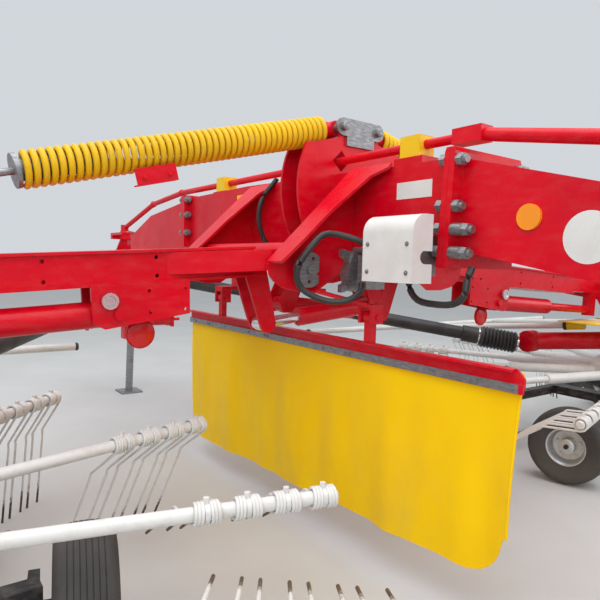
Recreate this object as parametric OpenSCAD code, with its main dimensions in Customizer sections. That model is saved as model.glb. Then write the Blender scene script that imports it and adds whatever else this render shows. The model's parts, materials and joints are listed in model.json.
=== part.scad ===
/* [Layout] */
// Distance from the middle of the machine to each rotor's hub
rotor_x = 2405; // [2380:5:2430]
// Height of the tine arms above the ground
arm_z = 490; // [485:1:500]
// Half the overall length of the machine
half_length = 3300; // [3250:10:3350]
// Height of the boom's fold pin
fold_z = 1190; // [1185:1:1195]
// Distance from the middle to the boom's fold pin
fold_x = 420; // [415:1:425]
// Downward slope of the boom
boom_slope = 3.7; // [3:0.1:4]

/* [Beam] */
// Width of the centre beam
beam_w = 300; // [280:2:320]
// Thickness of the plates of the frame
plate_t = 12; // [10:1:14]
// Place of the rear bolted flange along the beam
rear_flange_y = -383; // [-400:1:-370]
// Place of the front bolted flange along the beam
front_flange_y = 1700; // [1680:5:1720]

/* [Rotor] */
// Number of arms on a rotor
arm_count = 13; // [13:1:13]
// Reach of an arm from the hub
arm_reach = 1780; // [1770:5:1790]
// Diameter of an arm tube
arm_d = 40; // [36:1:42]
// Double tines on an arm
tines_per_arm = 4; // [3:1:4]
// Distance between the double tines
tine_pitch = 112; // [105:1:116]
// Diameter of the tine wire
tine_d = 10; // [8:0.5:11]
// Outer diameter of a tine coil
coil_d = 66; // [60:1:68]
// Length of a tine above its knee
tine_upper = 175; // [165:1:180]
// Length of a tine below its knee
tine_lower = 325; // [300:1:326]
// Bend of a tine at its knee
tine_knee = 30; // [25:1:32]
// Lean of the tines toward the hub
tine_lean = 8; // [5:1:10]

/* [Wheels] */
// Diameter of a rotor's running wheel
rotor_tyre_d = 410; // [400:2:414]
// Width of a rotor's running wheel
rotor_tyre_w = 165; // [150:1:170]
// Diameter of a rear wheel
rear_tyre_d = 790; // [770:2:800]
// Width of a rear wheel
rear_tyre_w = 260; // [240:2:264]
// Distance from the middle to a rear wheel
rear_wheel_x = 1180; // [1175:1:1190]

/* [Spring] */
// Outer diameter of the boom spring
spring_d = 126; // [115:1:126]
// Diameter of the spring wire
spring_wire = 22; // [16:1:22]
// Turns of the boom spring
spring_turns = 46; // [40:1:48]

/* [Curtain] */
// Distance of the swath curtain from the middle
curtain_x = 220; // [215:1:225]
// Height of the curtain's hinge pins
curtain_hinge_z = 955; // [950:1:958]
// Rear end of the curtain
curtain_rear_y = -730; // [-740:5:-700]
// Front end of the curtain
curtain_front_y = 1480; // [1450:5:1500]

/* [Hidden] */
$fn = 48;

machine_red = "#c8141c";
guard_yellow = "#e6bc14";
arm_white = "#e8e8e4";
steel_grey = "#8a8d90";
frame_black = "#202022";
tyre_black = "#262628";

half_w = beam_w / 2;
pin_gap = 0.5;
clear_gap = 6;

// Bolted flanges: half width, bolt circle, bolt heights and how far the rear one leans
flange_half = 190;
bolt_x = 172;
bolt_d = 26;
flange_t = 22;
rear_lean = 3;

// Bolts of the flanges: height, length of the spacer sleeve
BOLT_Z = 0;
BOLT_SLEEVE = 1;
rear_bolts = [[1205, 46], [1283, 46], [1360, 0], [1514, 0]];
front_bolts = [[1220, 0], [1330, 0], [1440, 0], [1535, 0]];

// Fold gusset plates and the fork of the boom between them
rear_gusset_y = 128;
front_gusset_y = 930;
gusset_low = [-564, 1147];
gusset_tilt = 43.6;
fold_pin_d = 60;
fold_tube_d = 92;

// Boom section, in the boom's own frame from the fold pin
boom_y = [280, 580];
boom_z = [-84, 28];
boom_wall = 8;
boom_start = 110;
boom_end = 1500;
head_start = 760;
head_end = 1900;
head_gap = 6;
width_cyl_z = -185;
width_cyl_y = 320;

// Places of the curtain's hinge along the machine
hanger_y = [-70, 1100];
// Top of the curtain's rail, clear of the fold cylinder at full swing
rail_top = 858;
// Place of the amber side reflectors along the machine and above the ground
reflector_at = [-667, 1311];
hanger_top = 1203;

// Centre post and the springs' top pins
post_y = [274, 394];
post_top = 1728;
spring_pin = [-100, 1751];
spring_axis_y = 340;
spring_tilt = 14.5;
spring_in = 48;
spring_out = 1315;
spring_eye = 1770;

// Fold cylinders: base pin and rod eye of the left one
fold_base = [200, 960];
fold_eye = [-425, 895];
fold_cyl_y = [380, 560];
fold_len = norm(fold_eye - fold_base);
fold_tilt = atan2(fold_base[1] - fold_eye[1], fold_base[0] - fold_eye[0]);

// Centre line of the drive to a rotor: start and slopes over the distance from the middle
shaft_start = [0, 2500, 1020];
shaft_dy = -1;
shaft_dz = -0.205;
shaft_d = 90;
shaft_split = 405;
shaft_end = 1860;
bellows_d = 150;

// Steered rear axle
rear_axle_y = -2905;
kingpin_x = 980;
portal_z = [700, 820];
track_arm = 190;
lever_y = -2560;

// Headstock
yaw_y = 2900;
link_y = 3180;
link_z = 620;
link_x = 412;
link_pin_d = 28;
stand_z = 520;
drive_z = 760;

// Steering rod along the top of the beam
steer_x = -100;
steer_d = 35;
steer_guides = [-163, 1300];

// Height of the rotor's guard tubes
guard_z = 645;

// Running wheels of a rotor: across from the hub, along the machine, turn
WHEEL_ACROSS = 0;
WHEEL_ALONG = 1;
WHEEL_TURN = 2;
rotor_wheels = [
  [1121, -80, -14],
  [860, 640, -8],
  [-860, 640, 8],
  [-1121, -80, 14]
];

// Raise of the tines' lower part on each arm, from the near arm onward
tine_raise = [55, 75, 80, 85, 85, 60, 22, 4, 0, 0, 0, 0, 22];
near_arm_turn = 104.3;

function rear_joint_y(z) = rear_flange_y + (1330 - z) * tan(rear_lean);

function shaft_at(x) = [
  -x, shaft_start[1] + (x - shaft_start[0]) * shaft_dy,
  shaft_start[2] + (x - shaft_start[0]) * shaft_dz
];

module box(x, y, z) {
  translate([x[0], y[0], z[0]]) cube([x[1] - x[0], y[1] - y[0], z[1] - z[0]]);
}

module bar(a, b, d) {
  v = b - a;
  translate(a) rotate([0, acos(v[2] / norm(v)), atan2(v[1], v[0])]) cylinder(d = d, h = norm(v));
}

module pipe(a, b, d, bore) {
  difference() {
    bar(a, b, d);
    bar(a - (b - a) * 0.01, b + (b - a) * 0.01, bore);
  }
}

// Outline in X and Z, made into a plate along Y
module plate_xz(y, h) {
  translate([0, y + h, 0]) rotate([90, 0, 0]) linear_extrude(h) children();
}

// Outline in Y and Z, made into a plate along X
module plate_yz(x, h) {
  translate([x, 0, 0]) rotate([90, 0, 90]) linear_extrude(h) children();
}

module pin_y(x, z, y, d) {
  translate([x, y[1], z]) rotate([90, 0, 0]) cylinder(d = d, h = y[1] - y[0]);
}

module both_sides() {
  children();
  mirror([1, 0, 0]) children();
}

module in_boom() {
  translate([-fold_x, 0, fold_z]) rotate([0, -boom_slope, 0]) children();
}

module in_spring() {
  translate([spring_pin[0], spring_axis_y, spring_pin[1]]) rotate([0, -spring_tilt, 0]) children();
}

// Swept tube along a list of points, in a ring of flat sides at each point
module sweep_tube(path, d, sides) {
  last = len(path) - 1;
  rings = [
    for (i = [0:last])
      let (a = path[max(i - 1, 0)], b = path[min(i + 1, last)], t = (b - a) / norm(b - a),
           side_raw = abs(t[2]) > 0.9 ? cross(t, [1, 0, 0]) : cross(t, [0, 0, 1]),
           u = side_raw / norm(side_raw), w = cross(t, u))
        for (k = [0:sides - 1]) path[i] + d / 2 * (cos(k * 360 / sides) * u + sin(k * 360 / sides) * w)
  ];
  walls = [
    for (i = [0:last - 1], k = [0:sides - 1])
      let (n = (k + 1) % sides, a = i * sides + k, b = (i + 1) * sides + k,
           c = (i + 1) * sides + n, d = i * sides + n)
        each [[a, b, c], [a, c, d]]
  ];
  ends = [[for (k = [0:sides - 1]) k], [for (k = [sides - 1:-1:0]) last * sides + k]];
  polyhedron(rings, concat(walls, ends));
}

module tyre(d, w, rim_d) {
  r = d / 2;
  shoulder = w * 0.16;
  rotate([0, 90, 0]) rotate_extrude($fn = 64) polygon([
    [rim_d / 2, -w * 0.36], [r * 0.8, -w / 2], [r - shoulder, -w / 2], [r - shoulder * 0.25, -w * 0.4],
    [r, -w * 0.25], [r, w * 0.25], [r - shoulder * 0.25, w * 0.4], [r - shoulder, w / 2],
    [r * 0.8, w / 2], [rim_d / 2, w * 0.36]
  ]);
}

module rim(d, w, disc_x, hub_d, hub_len, bore) {
  r = d / 2;
  rotate([0, 90, 0]) rotate_extrude($fn = 64) polygon([
    [bore / 2, -hub_len / 2], [hub_d / 2, -hub_len / 2], [hub_d / 2, disc_x - 8], [r - 14, disc_x - 8],
    [r - 14, -w / 2], [r, -w / 2], [r, w / 2], [r - 14, w / 2], [r - 14, disc_x + 4],
    [hub_d / 2, disc_x + 4], [hub_d / 2, hub_len / 2], [bore / 2, hub_len / 2]
  ]);
}

// Rounded cubic through points, for hoses
function smooth(p, steps) = [
  for (i = [0:len(p) - 2], k = [0:steps - 1])
    let (a = p[max(i - 1, 0)], b = p[i], c = p[i + 1], d = p[min(i + 2, len(p) - 1)], t = k / steps)
      b + t * (c - a) / 2 + t * t * (a - 2.5 * b + 2 * c - d / 2) + t * t * t * (1.5 * b - 1.5 * c + d / 2 - a / 2),
  p[len(p) - 1]
];

module flat_bar(a, b, w, t) {
  v = b - a;
  translate(a) rotate([0, acos(v[2] / norm(v)), atan2(v[1], v[0])])
    translate([-t / 2, -w / 2, 0]) cube([t, w, norm(v)]);
}

// Plate that carries the fold pin, with the pin's hole from a given depth on
module gusset(y, hole_from) {
  difference() {
    plate_xz(y, plate_t) polygon([
      [-half_w + 5, 1530], [-half_w - 12, 1530], gusset_low, [-555, 1105], [-535, 1083], [-496, 1059],
      [-419, 1043], [-330, 1043], [-half_w + 5, 1156]
    ]);
    pin_y(-fold_x, fold_z, [hole_from, y + plate_t + 1], fold_pin_d);
  }
}

// Folded edge of the plate, which widens toward the top of the beam: along the slope, along the machine
module gusset_flange(y) {
  translate([gusset_low[0], y, gusset_low[1]]) rotate([0, -gusset_tilt, 0]) translate([0, 0, -3]) linear_extrude(11) polygon([
    [8, -84], [118, -98], [294, -106], [400, -133], [498, -158], [541, -223], [570, -215],
    [570, plate_t - 1], [8, plate_t - 1]
  ]);
}

// Broad round-sided plate of the centre post
module post_outline() {
  difference() {
    intersection() {
      translate([90, 1480]) circle(r = 420, $fn = 96);
      translate([-90, 1480]) circle(r = 420, $fn = 96);
      polygon([
        [-345, 1230], [345, 1230], [345, 1655], [250, 1668], [115, 1703], [112, post_top],
        [-112, post_top], [-115, 1703], [-250, 1668], [-345, 1655]
      ]);
    }
    translate([steer_x, 1602]) rotate(45) square(66, center = true);
  }
}

// Bolt across a flange joint, with a nut at each end and a sleeve under the rear one
module flange_bolt(sleeve) {
  nut = 24;
  seat = flange_t + 0.8;
  translate([0, 0, -seat - sleeve - nut - 14]) cylinder(d = bolt_d, h = 2 * seat + sleeve + 2 * nut + 20);
  translate([0, 0, -seat - sleeve - nut]) cylinder(d = 44, h = nut, $fn = 6);
  translate([0, 0, seat]) cylinder(d = 44, h = nut, $fn = 6);
  if (sleeve > 0) translate([0, 0, -seat - sleeve]) cylinder(d = 42, h = sleeve);
}

module at_rear_bolts() {
  for (s = [-1, 1], b = rear_bolts)
    translate([s * bolt_x, rear_joint_y(b[BOLT_Z]), b[BOLT_Z]]) rotate([rear_lean - 90, 0, 0])
      if ($holes) translate([0, 0, -30]) cylinder(d = bolt_d, h = 60);
      else flange_bolt(b[BOLT_SLEEVE]);
}

module at_front_bolts() {
  for (s = [-1, 1], b = front_bolts)
    translate([s * bolt_x, front_flange_y + 0.5, b[BOLT_Z]]) rotate([-90, 0, 0])
      if ($holes) translate([0, 0, -30]) cylinder(d = bolt_d, h = 60);
      else flange_bolt(b[BOLT_SLEEVE]);
}

// One plate of the leaning rear flange, from its joint face to the front or to the rear
module rear_flange(toward) {
  difference() {
    plate_yz(-flange_half, 2 * flange_half) polygon([
      for (p = [[0.5, 1150], [flange_t, 1150], [flange_t, 1540], [flange_t - 6, 1555], [0.5, 1555]])
        [rear_joint_y(p[1]) + toward * p[0], p[1]]
    ]);
    at_rear_bolts($holes = true);
  }
}

module front_flange(y) {
  difference() {
    box([-flange_half, flange_half], y, [1190, 1562]);
    at_front_bolts($holes = true);
  }
}

module main_frame() {
  color(machine_red) {
    plate_yz(-half_w, beam_w) polygon([
      [rear_joint_y(1170) + 10, 1170], [rear_joint_y(1526) + 10, 1526], [-110, 1530], [990, 1555],
      [front_flange_y - 2, 1545], [front_flange_y - 2, 1240], [990, 1200], [140, 1150], [-200, 1165]
    ]);
    for (y = post_y) plate_xz(y, plate_t) post_outline();
    both_sides() {
      gusset(rear_gusset_y, rear_gusset_y + 6);
      gusset(front_gusset_y, front_gusset_y - 1);
      for (y = [rear_gusset_y, front_gusset_y]) gusset_flange(y);
    }
    for (side = [-1, 1])
      for (y = side < 0 ? [fold_cyl_y[0] - 54, fold_cyl_y[0] + 42] : [fold_cyl_y[1] - 54, fold_cyl_y[1] + 42])
        plate_xz(y, plate_t) polygon([
          for (p = [[60, 1190], [148, 1190], [250, 970], [225, 922], [170, 922]]) [-side * p[0], p[1]]
        ]);
    pin_y(fold_base[0], fold_base[1], [fold_cyl_y[0] - 60, fold_cyl_y[0] + 60], 30);
    pin_y(-fold_base[0], fold_base[1], [fold_cyl_y[1] - 60, fold_cyl_y[1] + 60], 30);
    for (y = steer_guides) box([steer_x - 48, steer_x + 48], [y - 70, y + 70], [1520, 1556]);
    rear_flange(1);
    front_flange([front_flange_y - flange_t, front_flange_y]);
  }
}

module front_beam() {
  color(machine_red) {
    front_flange([front_flange_y + 1, front_flange_y + 1 + flange_t]);
    plate_yz(-half_w + 10, beam_w - 20) polygon([
      [front_flange_y + 12, 1245], [front_flange_y + 12, 1540], [2350, 1470], [2760, 1330],
      [2760, 1130], [2300, 1180]
    ]);
    box([-110, 110], [2740, 2800], [800, 1330]);
    for (z = [800, 1270]) box([-90, 90], [2780, yaw_y + 80], [z, z + 35]);
    translate([0, yaw_y, 835]) cylinder(d = 60, h = 435);
  }
}

module rear_beam() {
  color(machine_red) {
    intersection() {
      plate_yz(-half_w + 10, beam_w - 20) polygon([
        [rear_joint_y(1214) - 10, 1214], [rear_joint_y(1522) - 10, 1522], [-437, 1515], [-876, 1397], [-1500, 1215],
        [-2100, 1080], [-2600, 1010], [-2780, 940], [-2780, 790], [-2500, 790], [-2000, 850],
        [-1450, 965], [-893, 1118]
      ]);
      difference() {
        box([-half_w, half_w], [-2780, -400], [700, 1600]);
        translate([0, lever_y, 700]) cylinder(d = 48 + 2 * pin_gap, h = 600);
      }
    }
    rear_flange(-1);
  }
}

module rear_axle() {
  color(machine_red) {
    difference() {
      union() {
        box([-kingpin_x, kingpin_x], [rear_axle_y - 60, rear_axle_y + 60], portal_z);
        both_sides() translate([-kingpin_x, rear_axle_y, portal_z[0] - 60]) cylinder(d = 110, h = 220);
      }
      both_sides()
        translate([-kingpin_x, rear_axle_y, portal_z[0] - 80]) cylinder(d = 60 + 2 * pin_gap, h = 300);
    }
    box([-170, 170], [rear_axle_y + 59, -2781], [portal_z[0] + 10, portal_z[1] + 60]);
    both_sides() {
      plate_xz(rear_axle_y - 6, plate_t) polygon([
        [-170, portal_z[1] - 1], [-170, 900], [-420, portal_z[1] - 1]
      ]);
    }
  }
}

module knuckle() {
  color(machine_red) {
    translate([-kingpin_x, rear_axle_y, 470]) cylinder(d = 60, h = 420);
    translate([-kingpin_x, rear_axle_y, 340]) cylinder(d = 100, h = 290);
    translate([-kingpin_x, rear_axle_y, 866]) cylinder(d = 90, h = 24);
    bar([-kingpin_x, rear_axle_y, rear_tyre_d / 2], [-rear_wheel_x - 60, rear_axle_y, rear_tyre_d / 2], 55);
    difference() {
      box([-kingpin_x - 28, -kingpin_x + 28], [rear_axle_y + 20, rear_axle_y + track_arm + 35], [520, 545]);
      translate([-kingpin_x, rear_axle_y + track_arm, 500]) cylinder(d = 24, h = 60);
    }
  }
}

module rear_tyre() {
  color(tyre_black) translate([-rear_wheel_x, rear_axle_y, rear_tyre_d / 2]) tyre(rear_tyre_d, rear_tyre_w, 390);
}

module rear_rim() {
  color(arm_white) translate([-rear_wheel_x, rear_axle_y, rear_tyre_d / 2])
    rim(390, 215, -20, 150, 150, 55 + 2 * pin_gap);
}

module tie_rod() {
  color(machine_red) {
    y = rear_axle_y + track_arm;
    bar([-kingpin_x + 40, y, 575], [kingpin_x - 40, y, 575], 34);
    for (s = [-1, 1]) translate([s * kingpin_x, y, 551]) cylinder(d = 56, h = 48);
    box([-22, 22], [y - 20, y + 20], [575, 640]);
  }
}

module steer_lever() {
  color(machine_red) {
    translate([0, lever_y, 650]) cylinder(d = 48, h = 520);
    translate([0, lever_y, 1125]) cylinder(d = 90, h = 35);
    box([-160, 0], [lever_y - 28, lever_y + 28], [1135, 1160]);
    translate([-160, lever_y, 1135]) cylinder(d = 56, h = 25);
    box([-28, 28], [lever_y - 130, lever_y], [652, 680]);
  }
}

module steering_rod() {
  color(machine_red) {
    bar([steer_x, -370, 1602], [steer_x, 1910, 1602], steer_d);
    bar([steer_x, -440, 1602], [steer_x - 60, lever_y, 1210], 45);
    box([steer_x - 32, steer_x + 32], [-470, -350], [1575, 1629]);
    translate([steer_x - 60, lever_y, 1167]) cylinder(d = 60, h = 66);
    bar([steer_x, 1910, 1602], [steer_x, 2400, 1560], steer_d);
    bar([steer_x, 2400, 1560], [steer_x - 40, yaw_y, 1400], steer_d);
    for (p = [[1910, 1602], [2400, 1560]]) translate([steer_x, p[0], p[1]]) sphere(d = 46);
    translate([steer_x - 40, yaw_y, 1375]) cylinder(d = 60, h = 50);
  }
}

module pins_and_bolts() {
  color(steel_grey) {
    both_sides() {
      pin_y(-fold_x, fold_z, [rear_gusset_y + 6, front_gusset_y + plate_t + 24], fold_pin_d);
      pin_y(-fold_x, fold_z, [front_gusset_y + plate_t + 1, front_gusset_y + plate_t + 26], 96);
    }
    at_rear_bolts($holes = false);
    at_front_bolts($holes = false);
    bar([0, 2641, drive_z], [0, 2740, drive_z], 35);
    bar([0, 2641, drive_z], [0, 2655, drive_z], 56);
  }
}

// Two link plates outside the post, with the springs' top pins across them
module spring_anchor() {
  color(steel_grey) {
    for (y = [post_y[0] - plate_t, post_y[1] + plate_t])
      plate_xz(y, plate_t) difference() {
        union() {
          for (s = [-1, 1]) translate([s * spring_pin[0], spring_pin[1]]) circle(d = 76);
          translate([spring_pin[0], spring_pin[1] - 38]) square([-2 * spring_pin[0], 76]);
          translate([-80, 1672]) square([160, 60]);
        }
        for (s = [-1, 1]) translate([s * spring_pin[0], spring_pin[1]]) circle(d = 36);
      }
    for (s = [-1, 1])
      pin_y(s * spring_pin[0], spring_pin[1], [post_y[0] - plate_t - 14, post_y[1] + 2 * plate_t + 14], 36);
  }
}

module guide_blocks() {
  color(guard_yellow) for (y = steer_guides)
    difference() {
      box([steer_x - 40, steer_x + 40], [y - 48, y + 48], [1556, 1636]);
      pin_y(steer_x, 1602, [y - 60, y + 60], steer_d + 2 * pin_gap);
    }
}

module centre_gearbox() {
  color(machine_red) {
    translate([0, shaft_start[1], 900]) cylinder(d = 240, h = 225);
    translate([0, shaft_start[1], 870]) cylinder(d = 200, h = 40);
    box([-80, 80], [shaft_start[1] - 60, 2640], [drive_z - 70, 950]);
    box([-70, 70], [shaft_start[1] - 60, shaft_start[1] + 60], [1120, 1150]);
    both_sides() {
      bar(shaft_at(60), shaft_at(160), 110);
      bar(shaft_at(140), shaft_at(160), 140);
    }
  }
}

module centre_shafts() {
  color(frame_black) both_sides() bar(shaft_at(161), shaft_at(shaft_split - 10), shaft_d);
}

// Forks that carry the curtain's hinge pins: the rear one on an arm from the gusset
module curtain_hangers() {
  color(machine_red) {
    for (y = hanger_y) {
      difference() {
        for (side = [-40, 26])
          box([-curtain_x - 28, -curtain_x + 28], [y + side, y + side + 14], [curtain_hinge_z - 24, 1004]);
        pin_y(-curtain_x, curtain_hinge_z, [y - 60, y + 60], 22);
      }
      box([-curtain_x - 28, -curtain_x + 28], [y - 40, y + 40], [990, 1004]);
      pin_y(-curtain_x, curtain_hinge_z, [y - 46, y + 46], 22);
    }
    flat_bar([-curtain_x + 5, hanger_y[0] - 5, 996], [-348, 98, 1044], 50, 12);
    box([-362, -322], [80, rear_gusset_y - 0.2], [1038, 1056]);
    box([-curtain_x - 28, -100], [hanger_y[1] - 40, hanger_y[1] + 40], [1000, 1018]);
    box([-146, -100], [hanger_y[1] - 40, hanger_y[1] + 40], [1010, hanger_top]);
  }
}

module curtain_rail() {
  color(machine_red) {
    plate_yz(-curtain_x - 4, 8) polygon([
      [curtain_rear_y + 26, rail_top], [curtain_rear_y, rail_top - 26], [curtain_rear_y, 800],
      [curtain_front_y, 800], [curtain_front_y, rail_top]
    ]);
    box([-curtain_x - 30, -curtain_x], [curtain_rear_y + 30, curtain_front_y], [rail_top - 8, rail_top]);
    box([-curtain_x - 12, -curtain_x - 4], [curtain_rear_y, curtain_front_y], [786, 815]);
    for (y = hanger_y)
      difference() {
        union() {
          box([-curtain_x - 14, -curtain_x + 14], [y - 19, y + 19], [rail_top - 8, curtain_hinge_z]);
          pin_y(-curtain_x, curtain_hinge_z, [y - 19, y + 19], 46);
        }
        pin_y(-curtain_x, curtain_hinge_z, [y - 60, y + 60], 22 + 2 * pin_gap);
      }
  }
}

module curtain_sheet() {
  color(guard_yellow) plate_yz(-curtain_x + 4.3, 6) difference() {
    polygon([
      [curtain_rear_y + 6, rail_top - 10], [curtain_rear_y + 66, 330], [curtain_rear_y + 180, 186],
      [100, 161], [curtain_front_y - 220, 118], [curtain_front_y - 60, 130], [curtain_front_y - 4, rail_top - 10]
    ]);
    translate([curtain_rear_y + 66, 186]) difference() {
      square([150, 150]);
      translate([150, 150]) circle(r = 150, $fn = 64);
    }
  }
}

// Sheet cover, open below and toward the beam, with a rounded outer edge and a notch at the rear
module valve_cover() {
  t = 4;
  y = [-390, -155];
  color(arm_white) difference() {
    plate_xz(y[0], y[1] - y[0]) cover_outline(0);
    plate_xz(y[0] + t, y[1] - y[0] - 2 * t) cover_outline(t);
    translate([-252, y[0] - 1, 1182]) rotate([-90, 0, 0]) cylinder(d = 44, h = t + 2);
    box([-252, -240], [y[0] - 1, y[0] + t + 1], [1160, 1204]);
    translate([-290, y[0] - 1, 1182]) rotate([-90, 0, 0]) cylinder(d = 44, h = t + 2);
    box([-290, -240], [y[0] - 1, y[0] + t + 1], [1160, 1204]);
  }
}

module cover_outline(t) {
  low = t > 0 ? 1000 : 1096;
  side = t > 0 ? -200 : -254;
  round_r = 62 - t;
  difference() {
    polygon([[-350 + t, low], [-350 + t, 1326 - t], [side, 1326 - t], [side, low]]);
    translate([-350 + t, 1326 - t - round_r]) difference() {
      square([round_r, round_r]);
      translate([round_r, 0]) circle(r = round_r);
    }
  }
}

// Valve block behind the cover, the cast lever beside it and the slotted cam disc
module valve_block() {
  color(steel_grey) {
    box([-240, -152], [-320, -70], [1120, 1260]);
    box([-250, -152], [-70, -20], [1060, 1190]);
    pin_y(-215, 1210, [-70, 40], 26);
    pin_y(-215, 1085, [-20, 20], 30);
    plate_xz(8, 46) polygon([
      [-200, 1075], [-190, 1150], [-205, 1196], [-245, 1205], [-262, 1150], [-275, 1110], [-258, 1058], [-225, 1046]
    ]);
    plate_xz(18, 24) difference() {
      translate([-298, 1128]) circle(d = 168);
      translate([-306, 1128]) circle(d = 112);
      translate([-500, 1000]) square([206, 300]);
    }
    difference() {
      pin_y(-396, 1129, [92, 104], 138);
      for (a = [20, 90, 200, 290])
        translate([-396, 90, 1129]) rotate([0, a, 0]) translate([46, 0, 0]) rotate([-90, 0, 0]) cylinder(d = 15, h = 16);
      box([-350, -320], [90, 106], [1050, 1210]);
    }
    pin_y(-396, 1129, [76, 92], 34);
    pin_y(-396, 1129, [104, rear_gusset_y], 40);
  }
}

hose_paths = [
  [[-240.2, -96, 1226], [-252, -96, 1226], [-266, -96, 1226], [-304, -66, 1246], [-352, -26, 1262], [-405, -6, 1262], [-450, 2, 1225],
   [-490, 24, 1160], [-495, 40, 1105], [-470, 38, 1058], [-425, 10, 1028], [-380, -30, 1014],
   [-330, -66, 1022], [-290, -80, 1050], [-262, -60, 1080]],
  [[-190, 640, 1556], [-205, 650, 1530], [-240, 665, 1480], [-265, 668, 1420], [-270, 668, 1360],
   [-262, 660, 1300], [-240, 650, 1250], [-200, 640, 1215], [-163, 630, 1190]],
  [[-200, -240, 1118], [-202, -250, 1070], [-204, -290, 1034], [-204, -360, 1025], [-200, -440, 1030],
   [-196, -482, 1062], [-190, -486, 1110], [-160, -480, 1150]]
];

module hoses() {
  color(frame_black) for (path = hose_paths) sweep_tube(smooth(path, 3), 24, 10);
}

module rear_lamps() {
  color(machine_red) {
    box([-1000, 1000], [-3060, -3030], [930, 990]);
    for (s = [-1, 1]) {
      box([s * 1000 - 130, s * 1000 + 130], [-3090, -3030], [890, 1030]);
      box([s * 200 - 30, s * 200 + 30], [-3050, rear_axle_y - 60], [790, 960]);
    }
  }
}

module side_reflectors() {
  color("#e88a10") for (s = [-1, 1])
    translate([s * (half_w - 10), reflector_at[0], reflector_at[1]]) rotate([0, 90 * s, 0]) cylinder(d = 80, h = 10);
}

module headstock() {
  color(machine_red) {
    difference() {
      translate([0, yaw_y, 841]) cylinder(d = 130, h = 423);
      translate([0, yaw_y, 830]) cylinder(d = 60 + 2 * pin_gap, h = 450);
    }
    box([-70, 70], [yaw_y + 92, link_y - 20], [920, 1180]);
    box([-60, 60], [yaw_y + 50, yaw_y + 94], [900, 1200]);
    for (s = [-1, 1]) plate_xz(link_y - 60, 20) polygon([
      [s * 30, 1330], [s * 90, 1330], [s * (link_x - 20), link_z - 50], [s * (link_x - 90), link_z - 50]
    ]);
    bar([-link_x + 60, link_y - 50, link_z], [link_x - 60, link_y - 50, link_z], 90);
    for (s = [-1, 1]) plate_yz(s * (link_x - 40) - 12, 24) polygon([
      [link_y - 80, link_z - 60], [link_y + 40, link_z - 45], [link_y + 40, link_z + 45], [link_y - 80, link_z + 80]
    ]);
    difference() {
      for (x = [-44, 26]) plate_yz(x, 18) polygon([
        [link_y - 60, 1200], [link_y - 60, 1380], [half_length - 20, 1400], [half_length, 1360],
        [half_length - 20, 1320], [link_y - 20, 1200]
      ]);
      bar([-60, half_length - 45, 1360], [60, half_length - 45, 1360], 26);
    }
    box([-60, 60], [link_y - 60, link_y - 40], [1160, 1330]);
    // Lever that drives the steering rod
    box([steer_x - 75, steer_x - 5], [yaw_y - 30, link_y - 40], [1346, 1366]);
    box([steer_x - 75, -26], [link_y - 80, link_y - 40], [1316, 1366]);
    for (s = [-1, 1]) bar([s * (link_x - 30), link_y, link_z], [s * (link_x + 55), link_y, link_z], link_pin_d);
    for (s = [-1, 1]) plate_yz(s * 62 - 10, 20) polygon([
      [link_y - 100, stand_z - 45], [link_y - 10, stand_z - 45], [link_y - 10, link_z + 20], [link_y - 100, link_z + 20]
    ]);
    bar([-60, link_y - 55, stand_z], [60, link_y - 55, stand_z], 24);
  }
}

module stand_leg() {
  color(steel_grey) {
    difference() {
      bar([0, link_y - 55, stand_z + 20], [0, link_y - 15, 12], 60);
      bar([-80, link_y - 55, stand_z], [80, link_y - 55, stand_z], 24 + 2 * pin_gap);
    }
    box([-90, 90], [link_y - 105, link_y + 75], [0, 14]);
  }
}

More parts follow.
